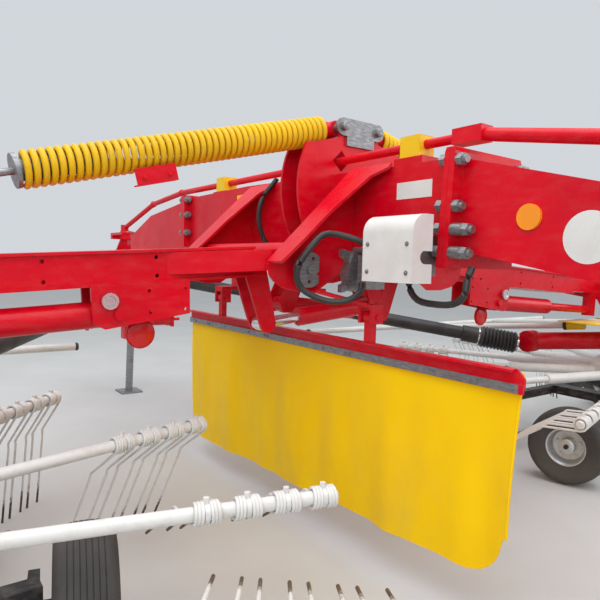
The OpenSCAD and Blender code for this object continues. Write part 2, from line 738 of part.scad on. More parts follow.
module boom(cyl_y) {
  color(machine_red) {
    difference() {
      union() {
        pin_y(-fold_x, fold_z, [rear_gusset_y + plate_t + clear_gap, front_gusset_y - clear_gap], fold_tube_d);
        in_boom() {
          box([-boom_end, -boom_start], boom_y, boom_z);
          for (z = [boom_z[0] - 4, boom_z[1] - 6]) box([-boom_end, -boom_start], [boom_y[0] - 10, boom_y[1] + 10], [z, z + 10]);
          translate([0, 0, -60]) linear_extrude(80) polygon([
            [-10, rear_gusset_y + 30], [-10, 800], [-110, 800], [-480, boom_y[1]],
            [-480, boom_y[0]], [-110, rear_gusset_y + 30]
          ]);
        }
      }
      pin_y(-fold_x, fold_z, [0, 1200], fold_pin_d + 2 * pin_gap);
      in_boom() {
        box([-boom_end - 1, -490], [boom_y[0] + boom_wall, boom_y[1] - boom_wall],
          [boom_z[0] + boom_wall, boom_z[1] - boom_wall]);
        for (x = [-520, -900, -1250], z = [-62, 4])
          translate([x, boom_y[0] - 5, z]) rotate([-90, 0, 0]) cylinder(d = 14, h = boom_wall + 6);
      }
    }
    for (y = [cyl_y - 50, cyl_y + 38]) plate_xz(y, plate_t) polygon([
      [-fold_x - 130, fold_z - 60], [-fold_x - 20, fold_z - 60], [fold_eye[0] + 40, fold_eye[1]],
      [fold_eye[0] + 20, fold_eye[1] - 35], [fold_eye[0] - 20, fold_eye[1] - 35], [fold_eye[0] - 40, fold_eye[1]]
    ]);
    in_boom() {
      // Lug of the spring rod
      for (y = [spring_axis_y - 52, spring_axis_y + 40]) plate_xz(y, plate_t) polygon([
        [-1470, boom_z[1] - 2], [-1330, boom_z[1] - 2], [-1365, 225], [-1435, 225]
      ]);
      // Bracket and barrel of the width cylinder
      difference() {
        for (y = [width_cyl_y - 62, width_cyl_y + 50]) plate_xz(y, plate_t) difference() {
          polygon([[-405, boom_z[0] + 2], [-760, boom_z[0] + 2], [-760, -210], [-720, -232], [-410, -205]]);
          for (x = [-425, -560], z = [-112, -188]) translate([x, z]) circle(d = 13);
        }
        pin_y(-670, width_cyl_z, [0, 600], 40);
      }
      pin_y(-670, width_cyl_z, [width_cyl_y - 76, width_cyl_y + 76], 40);
      pin_y(-670, width_cyl_z, [width_cyl_y - 40, width_cyl_y + 40], 92);
      pipe([-670, width_cyl_y, width_cyl_z], [-1260, width_cyl_y, width_cyl_z], 92, 51);
    }
  }
}

module boom_head() {
  color(machine_red) {
    in_boom() {
      box([-head_end, -head_start], [boom_y[0] + boom_wall + head_gap, boom_y[1] - boom_wall - head_gap],
        [boom_z[0] + boom_wall + head_gap, boom_z[1] - boom_wall - head_gap]);
      bar([-1000, width_cyl_y, width_cyl_z], [-1780, width_cyl_y, width_cyl_z], 50);
      box([-1830, -1770], [width_cyl_y - 30, width_cyl_y + 30], [-225, -60]);
    }
    difference() {
      union() {
        plate_yz(-rotor_x - 70, 200) polygon([
          [620, 1120], [240, 1120], [-100, 930], [-190, 780], [190, 780], [300, 960], [620, 1000]
        ]);
        translate([-rotor_x, 0, 590]) cylinder(d1 = 460, d2 = 420, h = 200);
        bar([-rotor_x + 40, 60, 700], [-1985, 560, 655], 120);
        bar([-1925, 600, 650], [-2010, 600, 650], 150);
      }
      translate([-rotor_x, 0, 580]) cylinder(d = 130, h = 60);
    }
  }
}

module shaft_tube() {
  color(frame_black) bar(shaft_at(shaft_split), shaft_at(1330), shaft_d - 34);
}

module shaft_sleeve() {
  color(frame_black) {
    pipe(shaft_at(1000), shaft_at(1600), shaft_d, shaft_d - 34 + 12);
    bar(shaft_at(1596), shaft_at(1690), 116);
    for (k = [0:8]) bar(shaft_at(1688 + k * 19), shaft_at(1700 + k * 19), bellows_d);
    bar(shaft_at(1690), shaft_at(shaft_end), bellows_d - 22);
  }
}

// Places along the guard tubes on one side of a rotor, from the plate to the far end
function guard_front(side, share) =
  [-rotor_x + side * (262 + 440 * share), 300 + 1400 * share, guard_z + 141 * (1 - share)];

function guard_rear(side, share) =
  [-rotor_x + side * (300 + 420 * share), -60 - 640 * share, guard_z + 141 - 131 * share];

module guard_tubes() {
  color(arm_white) {
    bar([-rotor_x - 1575, 1700, guard_z], [-rotor_x + 1575, 1700, guard_z], 42);
    for (side = [-1, 1]) {
      bar(guard_front(side, 0), guard_front(side, 1), 42);
      bar(guard_rear(side, 0), guard_rear(side, 1), 42);
    }
  }
}

module guard_plate() {
  color(guard_yellow) {
    difference() {
      translate([-rotor_x, 0, 808]) linear_extrude(8) polygon([
        [-330, -250], [330, -250], [470, 60], [440, 400], [-440, 400], [-470, 60]
      ]);
      translate([-rotor_x, 0, 800]) cylinder(d = 480, h = 30);
      box([-rotor_x - 80, -rotor_x + 140], [0, 420], [800, 830]);
    }
    for (side = [-1, 1]) {
      pipe(guard_front(side, 0.003), guard_front(side, 0.08), 60, 43);
      pipe(guard_rear(side, 0.004), guard_rear(side, 0.15), 60, 43);
    }
  }
}

module chassis() {
  color(frame_black) {
    translate([-rotor_x, 0, 240]) cylinder(d = 120, h = 400);
    box([-rotor_x - 60, -rotor_x + 60], [-160, 660], [230, 290]);
    for (w = rotor_wheels) {
      side = sign(w[WHEEL_ACROSS]);
      reach = abs(w[WHEEL_ACROSS]) - 115;
      box([-rotor_x - (side < 0 ? reach : 0), -rotor_x + (side > 0 ? reach : 0)],
        [w[WHEEL_ALONG] - 30, w[WHEEL_ALONG] + 30], [232, 288]);
      translate([-rotor_x + w[WHEEL_ACROSS], w[WHEEL_ALONG], rotor_tyre_d / 2]) rotate([0, 0, w[WHEEL_TURN]]) {
        bar([-side * 150, 0, 0], [side * 60, 0, 0], 25);
        box([-side * 130 - 15, -side * 130 + 15], [-40, 40], [-20, 84]);
      }
    }
  }
}

module rotor_wheel(w) {
  color(tyre_black) translate([-rotor_x + w[WHEEL_ACROSS], w[WHEEL_ALONG], rotor_tyre_d / 2])
    rotate([0, 0, w[WHEEL_TURN]]) {
      tyre(rotor_tyre_d, rotor_tyre_w, 204);
      rim(205, 130, 0, 80, 100, 25 + 2 * pin_gap);
    }
}

// One leg of a tine in its own plane: trailing to +X, down to -Y
module tine_leg(raise) {
  upper = raise + tine_knee;
  knee = [tine_upper * sin(upper), -tine_upper * cos(upper)];
  tip = knee + [tine_lower * sin(raise), -tine_lower * cos(raise)];
  half = tine_d / 2;
  across_upper = [cos(upper), sin(upper)] * half;
  across_lower = [cos(raise), sin(raise)] * half;
  across_knee = (across_upper + across_lower) / (1 + cos(tine_knee)) ;
  linear_extrude(tine_d, center = true)
    polygon([across_upper, across_knee + knee, tip + across_lower, tip - across_lower, knee - across_knee, -across_upper]);
}

module arm(raise) {
  rotate([-90, 0, 0]) rotate_extrude() polygon(concat(
    [[0, 300], [30, 300], [30, 900], [arm_d / 2, 910]],
    [for (k = [tines_per_arm - 1:-1:0], e = [-1, 1])
      let (r = arm_reach - 45 - k * tine_pitch)
        each [[arm_d / 2, r + e * 22.5 - 15], [coil_d / 2, r + e * 22.5 - 15], [coil_d / 2, r + e * 22.5 + 15], [arm_d / 2, r + e * 22.5 + 15]]],
    [[arm_d / 2, arm_reach], [0, arm_reach]]
  ));
  for (k = [0:tines_per_arm - 1], e = [-1, 1])
    translate([0, arm_reach - 45 - k * tine_pitch + e * 34, 0])
      rotate([-tine_lean, 0, 0]) rotate([90, 0, 0]) tine_leg(raise);
}

module rotor_arms() {
  color(arm_white) translate([-rotor_x, 0, arm_z]) {
    difference() {
      rotate_extrude($fn = 64) polygon([
        [70, -70], [300, -70], [350, -45], [350, 45], [300, 80], [70, 80]
      ]);
    }
    for (k = [0:arm_count - 1]) rotate([0, 0, -near_arm_turn - k * 360 / arm_count]) mirror([1, 0, 0]) arm(tine_raise[k]);
  }
}

// Coil, with the eye and plug that hold its inner end on the pin
module spring_coil() {
  mean = (spring_d - spring_wire) / 2;
  steps = 10;
  length = spring_out - spring_in - spring_wire;
  color(guard_yellow) in_spring() sweep_tube([
    for (i = [0:spring_turns * steps])
      [-spring_in - spring_wire / 2 - length * i / (spring_turns * steps), mean * cos(i * 360 / steps), mean * sin(i * 360 / steps)]
  ], spring_wire, 5);
  color(machine_red) in_spring() difference() {
    union() {
      pin_y(0, 0, [-24, 24], 70);
      bar([-30, 0, 0], [-200, 0, 0], 72);
    }
    pin_y(0, 0, [-40, 40], 36 + 2 * pin_gap);
  }
}

module spring_rod() {
  color(steel_grey) in_spring() {
    bar([-1300, 0, 0], [-spring_eye + 30, 0, 0], 24);
    bar([-1090, 0, 0], [-1322, 0, 0], 72);
    bar([-spring_out - 3, 0, 0], [-spring_out - 17, 0, 0], 112);
    pin_y(-spring_eye, 0, [-32, 32], 60);
  }
}

module in_fold_cylinder() {
  translate([fold_base[0], 0, fold_base[1]]) rotate([0, -fold_tilt, 0]) children();
}

module fold_barrel(y) {
  color(machine_red) in_fold_cylinder() {
    difference() {
      union() {
        pin_y(0, 0, [y - 36, y + 36], 70);
        bar([0, y, 0], [-440, y, 0], 80);
      }
      bar([-60, y, 0], [-441, y, 0], 47);
      pin_y(0, 0, [y - 50, y + 50], 30 + 2 * pin_gap);
    }
  }
}

module fold_rod(y) {
  color(steel_grey) in_fold_cylinder() {
    bar([-70, y, 0], [-fold_len + 20, y, 0], 45);
    pin_y(-fold_len, 0, [y - 30, y + 30], 66);
  }
}

module right_side() {
  mirror([1, 0, 0]) children();
}

main_frame();
front_beam();
rear_beam();
rear_axle();
pins_and_bolts();
spring_anchor();
guide_blocks();
centre_gearbox();
centre_shafts();
curtain_hangers();
valve_cover();
valve_block();
hoses();
rear_lamps();
side_reflectors();
headstock();
stand_leg();
steering_rod();
steer_lever();
tie_rod();
knuckle();  // left_knuckle
right_side() knuckle();  // right_knuckle
rear_tyre();  // left_rear_tyre
right_side() rear_tyre();  // right_rear_tyre
rear_rim();  // left_rear_rim
right_side() rear_rim();  // right_rear_rim
curtain_rail();
curtain_sheet();
boom(fold_cyl_y[0]);  // left_boom
right_side() boom(fold_cyl_y[1]);  // right_boom
boom_head();  // left_boom_head
right_side() boom_head();  // right_boom_head
shaft_tube();  // left_shaft_tube
right_side() shaft_tube();  // right_shaft_tube
shaft_sleeve();  // left_shaft_sleeve
right_side() shaft_sleeve();  // right_shaft_sleeve
guard_tubes();  // left_guard_tubes
right_side() guard_tubes();  // right_guard_tubes
guard_plate();  // left_guard_plate
right_side() guard_plate();  // right_guard_plate
chassis();  // left_chassis
right_side() chassis();  // right_chassis
rotor_arms();  // left_rotor_arms
right_side() rotor_arms();  // right_rotor_arms
spring_coil();  // left_spring_coil
right_side() spring_coil();  // right_spring_coil
spring_rod();  // left_spring_rod
right_side() spring_rod();  // right_spring_rod
fold_barrel(fold_cyl_y[0]);  // left_fold_barrel
right_side() fold_barrel(fold_cyl_y[1]);  // right_fold_barrel
fold_rod(fold_cyl_y[0]);  // left_fold_rod
right_side() fold_rod(fold_cyl_y[1]);  // right_fold_rod
rotor_wheel(rotor_wheels[0]);  // left_wheel_a
rotor_wheel(rotor_wheels[1]);  // left_wheel_b
rotor_wheel(rotor_wheels[2]);  // left_wheel_c
rotor_wheel(rotor_wheels[3]);  // left_wheel_d
right_side() rotor_wheel(rotor_wheels[0]);  // right_wheel_a
right_side() rotor_wheel(rotor_wheels[1]);  // right_wheel_b
right_side() rotor_wheel(rotor_wheels[2]);  // right_wheel_c
right_side() rotor_wheel(rotor_wheels[3]);  // right_wheel_d
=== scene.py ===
import json
import math

import bmesh
import bpy
from mathutils import Matrix, Vector


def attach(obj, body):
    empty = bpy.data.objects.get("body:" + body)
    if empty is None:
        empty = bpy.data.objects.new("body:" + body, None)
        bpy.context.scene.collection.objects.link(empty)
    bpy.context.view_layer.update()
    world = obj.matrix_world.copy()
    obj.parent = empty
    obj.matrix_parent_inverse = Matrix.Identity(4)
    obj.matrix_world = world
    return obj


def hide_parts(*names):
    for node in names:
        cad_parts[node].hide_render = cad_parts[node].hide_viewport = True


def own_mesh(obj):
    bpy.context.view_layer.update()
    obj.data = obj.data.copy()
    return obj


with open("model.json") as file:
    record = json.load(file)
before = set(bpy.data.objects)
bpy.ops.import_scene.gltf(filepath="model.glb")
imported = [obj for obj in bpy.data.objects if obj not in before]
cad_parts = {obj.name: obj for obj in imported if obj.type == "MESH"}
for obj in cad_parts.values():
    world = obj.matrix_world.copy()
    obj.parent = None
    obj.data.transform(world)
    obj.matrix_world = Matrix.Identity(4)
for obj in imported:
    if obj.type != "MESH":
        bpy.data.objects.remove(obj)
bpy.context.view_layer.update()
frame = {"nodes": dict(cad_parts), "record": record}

# Places and sizes are in metres in the frame's own axes, and angles in degrees unless said
# Rotor arms, and the double tines that hang from them
ROTOR_X = 2.405
ARM_Z = 0.49
ARM_COUNT = 13
ARM_STEP = 360 / ARM_COUNT
NEAR_ARM_TURN = 104.3
ARM_REACH = 1.78
ARM_RADIUS = 0.02
STUB_RADIUS = 0.03
STUB_START = 0.3
STUB_END = 0.9
TINES_PER_ARM = 4
TINE_PITCH = 0.112
TINE_END_GAP = 0.045
TINE_WIRE = 0.005
TINE_UPPER = 0.175
TINE_LOWER = 0.325
TINE_KNEE = 30
# How far a leg leans along the arm for each metre of its length
TINE_LEAN = 0.94 * math.tan(math.radians(8))
# Turn of each arm's tines about the arm, as the cam sets it
TINE_RAISE = [55, 75, 80, 85, 85, 60, 22, 4, 0, 0, 0, 0, 22]
# A tine bends in short steps that start a little before its knee
BEND_START = 0.02
BEND_STEP = 0.008
# A tine's coil lies beside its clamp, between these distances along the arm
COIL_START = 0.006
COIL_FINISH = 0.034
COIL_MEAN = 0.028
COIL_TURNS = 3
CLAMP_RADIUS = 0.027
CLAMP_HALF = 0.007
CLAMP_BOLT_RADIUS = 0.009
CLAMP_BOLT_TOP = 0.042
# Place of the linch pins along an arm
LINCH_PIN_AT = 0.93

# Boom springs: the pin at the post, and distances from it along the spring's axis
SPRING_PIN = Vector((-0.1, 0.34, 1.751))
SPRING_TILT = 14.5
SPRING_IN = 0.058
SPRING_OUT = 1.315
SPRING_TURNS = 46
SPRING_MEAN = 0.052
SPRING_WIRE = 0.011

# Place of the folded plate under the spring, along its axis
PLATE_AT = 0.81

# Drive shafts: a place along one is given by its distance across from the machine's middle
SHAFT_Y = 2.5
SHAFT_Z = 1.02
SHAFT_DROP = 0.205
SLEEVE_START = 1.0
SLEEVE_STEP = 1.596
BELLOWS_START = 1.688
SHAFT_END = 1.86
SLEEVE_RADIUS = 0.045
BELLOWS_RIBS = 10
BELLOWS_RADIUS = 0.0635
BELLOWS_RIB_HEIGHT = 0.0112

# Running wheels of a rotor: distance across from the hub, place along the machine, turn of the axle
ROTOR_WHEELS = {
    "a": (1.121, -0.08, -14),
    "b": (0.86, 0.64, -8),
    "c": (-0.86, 0.64, 8),
    "d": (-1.121, -0.08, 14),
}
WHEEL_RADIUS = 0.205
WHEEL_HALF = 0.0825
RIM_SEAT = 0.102
WHEEL_NUTS = 5
NUT_CIRCLE = 0.062
# Section of a running wheel's rim: distance along the axle and radius
RIM_SECTION = [
    (-0.062, 0.094), (-0.065, 0.098), (-0.065, 0.1025), (0.065, 0.1025), (0.065, 0.098), (0.062, 0.094),
    (0.03, 0.086), (0.006, 0.08), (0.003, 0.042), (0.048, 0.04), (0.05, 0.037), (0.05, 0.013),
    (-0.05, 0.013), (-0.05, 0.037), (-0.048, 0.04), (-0.005, 0.042), (-0.005, 0.08), (-0.03, 0.086),
]

# Rear wheels: the left one's middle, and the bars of the tread
REAR_AXLE = Vector((-1.18, -2.905, 0.395))
REAR_HALF = 0.13
REAR_RIM_SEAT = 0.195
TREAD_BARS = 22
TREAD_DEPTH = 0.022
TREAD_TRAIL = 13

# Guard tubes of a rotor: height of the front bar, rise to the plate, and half of the bar's length.
# A socket's mouth lies at a share of its tube's length
GUARD_Z = 0.645
GUARD_RISE = 0.141
GUARD_BAR_HALF = 1.575
GUARD_BAR_Y = 1.7
GUARD_BORE = 0.0212
FRONT_SOCKET_SHARE = 0.08
REAR_SOCKET_SHARE = 0.15

# Curtain: the rail's reach, and the cloth, which ends just inside it and hangs lower at the front
CURTAIN_X = -0.22
CURTAIN_REAR = -0.73
CURTAIN_FRONT = 1.48
CURTAIN_TOP = 0.846
CLOTH_REAR = CURTAIN_REAR + 0.008
CLOTH_FRONT = CURTAIN_FRONT - 0.006
CLOTH_HALF = 0.0025
CLOTH_OFFSET = 0.007
CLOTH_LEAN = 0.045
CLOTH_LOW_REAR = 0.186
CLOTH_LOW_FRONT = 0.118
CORNER_REAR = 0.15
CORNER_FRONT = 0.06
# The clamp strip lies on the outer face of the rail's lower lip
STRIP_BACK = CURTAIN_X - 0.012
STRIP_THICK = 0.0025
STRIP_BOTTOM = 0.787
STRIP_TOP = 0.8145
STRIP_SCREW_Z = 0.8
STRIP_SCREW_STEP = 0.6

# Places on the frame and the booms, left side
BEAM_FACE = -0.1499
REAR_BEAM_FACE = -0.1398
COVER_FACE = -0.3498
LINK_PIN_X = 0.1
LINK_PIN_REAR = Vector((0, 0.249, 1.751))
BACKWARD = Vector((0, -1, 0))
OUTWARD = Vector((-1, 0, 0))

# Blank plates on the beams' left faces: two corners, along the machine and up, or a middle
WHITE_PLATE = ((-0.288, 1.402), (-0.117, 1.464))
YELLOW_PLATE = ((0.987, 1.465), (1.086, 1.514))
ROUND_PLATE_AT = Vector((REAR_BEAM_FACE, -0.85, 1.246))
ROUND_PLATE_RADIUS = 0.075
PLATE_THICK = 0.0013

# The photograph's camera. Its yaw is in degrees, its pitch and roll are in radians
CAMERA_AT = Vector((-1.73, -1.66, 1.15))
CAMERA_YAW = 36.4
CAMERA_PITCH = 0.063
CAMERA_ROLL = 0.027
FOCAL_PIXELS = 570
FRAME_PIXELS = 600
SENSOR_MM = 36


def add_camera():
    """The camera that took the photograph, as fitted to the rotor arms."""
    yaw = math.radians(CAMERA_YAW)
    ahead = Vector((math.sin(yaw) * math.cos(CAMERA_PITCH), math.cos(yaw) * math.cos(CAMERA_PITCH),
                    -math.sin(CAMERA_PITCH)))
    level = Vector((math.cos(yaw), -math.sin(yaw), 0))
    above = level.cross(ahead)
    right = level * math.cos(CAMERA_ROLL) + above * math.sin(CAMERA_ROLL)
    up = above * math.cos(CAMERA_ROLL) - level * math.sin(CAMERA_ROLL)
    data = bpy.data.cameras.new("camera")
    data.sensor_width = SENSOR_MM
    data.lens = FOCAL_PIXELS / FRAME_PIXELS * SENSOR_MM
    data.clip_start = 0.02
    camera = bpy.data.objects.new("camera", data)
    camera.matrix_world = Matrix((
        (right.x, up.x, -ahead.x, CAMERA_AT.x),
        (right.y, up.y, -ahead.y, CAMERA_AT.y),
        (right.z, up.z, -ahead.z, CAMERA_AT.z),
        (0, 0, 0, 1)))
    bpy.context.scene.collection.objects.link(camera)
    bpy.context.scene.camera = camera


def add_light(name, size, power, at, toward, tint=(1, 1, 1)):
    """Adds a soft rectangular lamp. size is its two sides."""
    data = bpy.data.lights.new(name, "AREA")
    data.shape = "RECTANGLE"
    data.size, data.size_y = size
    data.energy = power
    data.color = tint
    light = bpy.data.objects.new(name, data)
    light.location = at
    light.rotation_euler = (Vector(toward) - Vector(at)).to_track_quat("-Z", "Y").to_euler()
    bpy.context.scene.collection.objects.link(light)


def add_studio():
    """Soft light from above and both sides, over a plain pale floor."""
    bpy.context.scene.view_settings.view_transform = "Standard"
    world = bpy.data.worlds.new("studio")
    bpy.context.scene.world = world
    world.use_nodes = True
    back = world.node_tree.nodes["Background"]
    back.inputs["Color"].default_value = (0.86, 0.9, 0.95, 1)
    back.inputs["Strength"].default_value = 0.75
    add_light("sky", (9, 9), 530, (-1, -1, 6.5), (0, 0, 0.8))
    add_light("left_fill", (5, 3), 160, (-6.5, -5, 3.2), (-0.5, 0, 1), (1, 0.98, 0.95))
    add_light("right_fill", (6, 3), 130, (7, -4, 3.5), (0.5, 0, 1))
    mesh = bpy.data.meshes.new("floor")
    reach = 40
    mesh.from_pydata([(-reach, -reach, 0), (reach, -reach, 0), (reach, reach, 0), (-reach, reach, 0)], [],
                     [(0, 1, 2, 3)])
    floor = bpy.data.objects.new("floor", mesh)
    bpy.context.scene.collection.objects.link(floor)
    floor.data.materials.append(plain_floor())


class Look:
    """A material's node tree, with short calls for the nodes that most materials use."""

    def __init__(self, name):
        self.material = bpy.data.materials.new(name)
        self.material.use_nodes = True
        self.tree = self.material.node_tree
        self.shader = self.tree.nodes["Principled BSDF"]
        coords = self.tree.nodes.new("ShaderNodeTexCoord")
        self.place = coords.outputs["Object"]

    def link(self, source, target):
        self.tree.links.new(source, target)

    def value(self, socket, number):
        self.shader.inputs[socket].default_value = number

    def noise(self, scale, detail=4, stretch=(1, 1, 1), rough=0.6):
        moved = self.tree.nodes.new("ShaderNodeMapping")
        moved.inputs["Scale"].default_value = stretch
        self.link(self.place, moved.inputs["Vector"])
        node = self.tree.nodes.new("ShaderNodeTexNoise")
        node.inputs["Scale"].default_value = scale
        node.inputs["Detail"].default_value = detail
        node.inputs["Roughness"].default_value = rough
        self.link(moved.outputs["Vector"], node.inputs["Vector"])
        return node.outputs["Fac"]

    def ramp(self, source, low, high, start=0.0, end=1.0):
        node = self.tree.nodes.new("ShaderNodeMapRange")
        node.inputs["From Min"].default_value = low
        node.inputs["From Max"].default_value = high
        node.inputs["To Min"].default_value = start
        node.inputs["To Max"].default_value = end
        self.link(source, node.inputs["Value"])
        return node.outputs["Result"]

    def times(self, a, b):
        """The product of a socket with another socket or a plain number."""
        node = self.tree.nodes.new("ShaderNodeMath")
        node.operation = "MULTIPLY"
        self.link(a, node.inputs[0])
        if isinstance(b, float):
            node.inputs[1].default_value = b
        else:
            self.link(b, node.inputs[1])
        return node.outputs[0]

    def most(self, a, b):
        node = self.tree.nodes.new("ShaderNodeMath")
        node.operation = "MAXIMUM"
        self.link(a, node.inputs[0])
        self.link(b, node.inputs[1])
        return node.outputs[0]

    def mix(self, factor, a, b):
        node = self.tree.nodes.new("ShaderNodeMix")
        node.data_type = "RGBA"
        self.link(factor, node.inputs["Factor"])
        for socket, colour in (("A", a), ("B", b)):
            if isinstance(colour, tuple):
                node.inputs[socket].default_value = (*colour, 1)
            else:
                self.link(colour, node.inputs[socket])
        return node.outputs["Result"]

    def edges(self, radius=0.006):
        """A mask that is 1 along the edges of a solid, from how far a bevel turns its normal."""
        bevel = self.tree.nodes.new("ShaderNodeBevel")
        bevel.samples = 3
        bevel.inputs["Radius"].default_value = radius
        geometry = self.tree.nodes.new("ShaderNodeNewGeometry")
        dot = self.tree.nodes.new("ShaderNodeVectorMath")
        dot.operation = "DOT_PRODUCT"
        self.link(bevel.outputs["Normal"], dot.inputs[0])
        self.link(geometry.outputs["Normal"], dot.inputs[1])
        return self.ramp(dot.outputs["Value"], 0.99, 0.85)

    def colour(self, source):
        self.link(source, self.shader.inputs["Base Color"])

    def roughness(self, source):
        self.link(source, self.shader.inputs["Roughness"])

    def bump(self, source, depth, strength=1.0):
        node = self.tree.nodes.new("ShaderNodeBump")
        node.inputs["Distance"].default_value = depth
        node.inputs["Strength"].default_value = strength
        self.link(source, node.inputs["Height"])
        self.link(node.outputs["Normal"], self.shader.inputs["Normal"])

    def height(self):
        parts = self.tree.nodes.new("ShaderNodeSeparateXYZ")
        self.link(self.place, parts.inputs["Vector"])
        return parts.outputs["Z"]


def plain_floor():
    """Pale matt floor with a faint mottling."""
    look = Look("floor_grey")
    tone = look.ramp(look.noise(1.5, 3), 0.3, 0.7)
    look.colour(look.mix(tone, (0.52, 0.52, 0.51), (0.57, 0.57, 0.56)))
    look.value("Roughness", 0.85)
    return look.material


def paint(name, base, dull, chip, roughness=0.3, dirt=0.25, worn=0.5):
    """Sprayed machine paint: fine mottling, dust low down, and chips along the edges."""
    look = Look(name)
    body = look.mix(look.ramp(look.noise(3.0, 5), 0.35, 0.7), base, dull)
    dust_low = look.ramp(look.height(), 1.1, 0.15)
    patches = look.ramp(look.noise(14, 6, (1, 1, 2.5)), 0.45, 0.75)
    dust = look.times(patches, look.ramp(dust_low, 0, 1, 0.25, 1.0))
    dusted = look.mix(look.times(dust, dirt), body, (0.33, 0.28, 0.21))
    scratch = look.ramp(look.noise(60, 3, (0.4, 1, 3)), 0.68, 0.74)
    chips = look.times(look.edges(), look.ramp(look.noise(35, 5), 0.5, 0.62))
    wear = look.times(look.most(chips, look.times(scratch, 0.35)), worn)
    look.colour(look.mix(wear, dusted, chip))
    look.roughness(look.ramp(look.noise(9, 4), 0.3, 0.7, roughness - 0.07, roughness + 0.14))
    look.bump(look.noise(220, 2), 0.00025)
    look.value("Specular IOR Level", 0.22)
    look.value("Coat Weight", 0.06)
    look.value("Coat Roughness", 0.15)
    return look.material


def steel(name, base, dark, roughness=0.38, rust=0.3):
    """Bare or zinc-plated steel: streaked grain, with spots of rust."""
    look = Look(name)
    grain = look.ramp(look.noise(30, 6, (1, 1, 4)), 0.3, 0.7)
    body = look.mix(grain, base, dark)
    spots = look.ramp(look.noise(16, 8), 0.58, 0.68)
    look.colour(look.mix(look.times(spots, rust), body, (0.16, 0.06, 0.025)))
    look.value("Metallic", 0.85)
    look.roughness(look.ramp(grain, 0, 1, roughness, roughness + 0.2))
    look.bump(look.noise(150, 4), 0.0004)
    return look.material


def plastic(name, base, dull, roughness=0.45, grain=0.0003):
    """Moulded plastic or rubber hose: a fine grain, and a tone that drifts a little."""
    look = Look(name)
    look.colour(look.mix(look.ramp(look.noise(8, 5), 0.35, 0.75), base, dull))
    look.roughness(look.ramp(look.noise(12, 3), 0.3, 0.7, roughness - 0.05, roughness + 0.12))
    look.bump(look.noise(350, 2), grain)
    return look.material


def tyre_rubber():
    """Dark rubber with dust in patches, and more of it low down."""
    look = Look("tyre_rubber")
    dust = look.ramp(look.noise(7, 6), 0.4, 0.75)
    low = look.ramp(look.height(), 0.5, 0.0)
    body = look.mix(look.times(dust, 0.5), (0.022, 0.022, 0.024), (0.085, 0.08, 0.07))
    look.colour(look.mix(look.times(low, 0.35), body, (0.14, 0.12, 0.09)))
    look.value("Roughness", 0.72)
    look.bump(look.noise(160, 5), 0.0006)
    return look.material


def tine_paint():
    """White tines whose ends are rubbed bare and rusty."""
    look = Look("tine_white")
    tint = look.tree.nodes.new("ShaderNodeVertexColor")
    tint.layer_name = "tip"
    edge = look.ramp(look.noise(70, 4), 0.3, 0.7, 0.0, 0.06)
    less = look.tree.nodes.new("ShaderNodeMath")
    less.operation = "SUBTRACT"
    look.link(tint.outputs["Color"], less.inputs[0])
    look.link(edge, less.inputs[1])
    rusty = look.ramp(less.outputs[0], 0.84, 0.9)
    grime = look.times(look.ramp(look.noise(25, 5), 0.5, 0.75), 0.35)
    body = look.mix(grime, (0.68, 0.68, 0.66), (0.4, 0.36, 0.29))
    look.colour(look.mix(rusty, body, (0.07, 0.04, 0.028)))
    look.roughness(look.ramp(look.noise(20, 3), 0.3, 0.7, 0.32, 0.5))
    look.bump(look.noise(240, 3), 0.0002)
    return look.material


def curtain_fabric():
    """Coated sheet: slightly grained, with soft staining toward its lower edge."""
    look = Look("curtain_yellow")
    patches = look.ramp(look.noise(6, 6, (1, 1, 0.5)), 0.45, 0.75)
    stain = look.times(patches, look.ramp(look.height(), 0.75, 0.15))
    body = look.mix(look.ramp(look.noise(2.5, 3), 0.3, 0.7), (0.92, 0.55, 0.0), (0.95, 0.61, 0.001))
    look.colour(look.mix(look.times(stain, 0.3), body, (0.5, 0.36, 0.1)))
    look.roughness(look.ramp(look.noise(15, 3), 0.3, 0.7, 0.42, 0.55))
    look.bump(look.noise(420, 2), 0.00035)
    look.value("Specular IOR Level", 0.15)
    return look.material


def make_looks():
    """Every material by name. The names of the record's material slots are among them."""
    return {
        "red": paint("machine_red", (0.66, 0.0, 0.012), (0.56, 0.0, 0.012), (0.16, 0.08, 0.06)),
        "yellow": paint("guard_yellow", (0.84, 0.55, 0.006), (0.78, 0.50, 0.012), (0.2, 0.1, 0.03), 0.35),
        "white": paint("guard_white", (0.68, 0.68, 0.66), (0.6, 0.59, 0.55), (0.16, 0.11, 0.07),
                       roughness=0.36, dirt=0.35),
        "steel": steel("grey_steel", (0.36, 0.37, 0.38), (0.22, 0.22, 0.225)),
        "bright_rod": steel("bright_rod", (0.78, 0.78, 0.79), (0.7, 0.7, 0.71), 0.08, 0.0),
        "black": paint("frame_black", (0.018, 0.018, 0.02), (0.03, 0.029, 0.028), (0.12, 0.1, 0.08),
                       roughness=0.42, dirt=0.4),
        "guard_plastic": plastic("shaft_guard", (0.02, 0.02, 0.022), (0.045, 0.045, 0.045)),
        "cover": plastic("cover_white", (0.7, 0.7, 0.68), (0.6, 0.6, 0.57), 0.32, 0.0002),
        "hose": plastic("hose_rubber", (0.014, 0.014, 0.015), (0.035, 0.034, 0.032), 0.42, 0.0002),
        "tyre": tyre_rubber(),
        "curtain": curtain_fabric(),
        "amber": plastic("reflector_amber", (0.9, 0.3, 0.01), (0.8, 0.25, 0.01), 0.18),
        "reflector_red": plastic("reflector_red", (0.6, 0.01, 0.01), (0.5, 0.008, 0.01), 0.15),
        "tine": tine_paint(),
        "rim": steel("rim_grey", (0.62, 0.63, 0.63), (0.5, 0.51, 0.51), 0.35, 0.1),
        "spring": paint("spring_yellow", (0.76, 0.47, 0.003), (0.64, 0.39, 0.006), (0.1, 0.06, 0.03),
                        roughness=0.4, dirt=0.3),
    }


